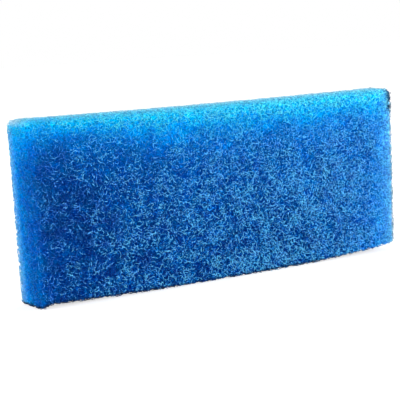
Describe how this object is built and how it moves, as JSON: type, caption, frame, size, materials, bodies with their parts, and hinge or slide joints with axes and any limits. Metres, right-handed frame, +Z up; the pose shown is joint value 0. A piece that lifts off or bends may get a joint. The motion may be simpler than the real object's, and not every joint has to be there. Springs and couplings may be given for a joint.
{
  "type": "cleaning sponge",
  "caption": "Thick rectangular slab of springy, open, curly nonwoven fibre for scrubbing, with soft rounded cut edges and a hand-trimmed long edge.",
  "frame": {"origin": "middle of the surface that the slab stands on, under its centre", "axes": "+X along the slab's length, +Y through its thickness from the front face to the back face, +Z up from the trimmed long edge"},
  "size_m": [0.2498, 0.025, 0.1],
  "materials": {
    "fibre_web": "open tangle of curly blue fibres, soft sheen on the crests and dark gaps between them"
  },
  "bodies": {
    "root": {"fibre_slab": "fibre_web"}
  },
  "joints": []
}
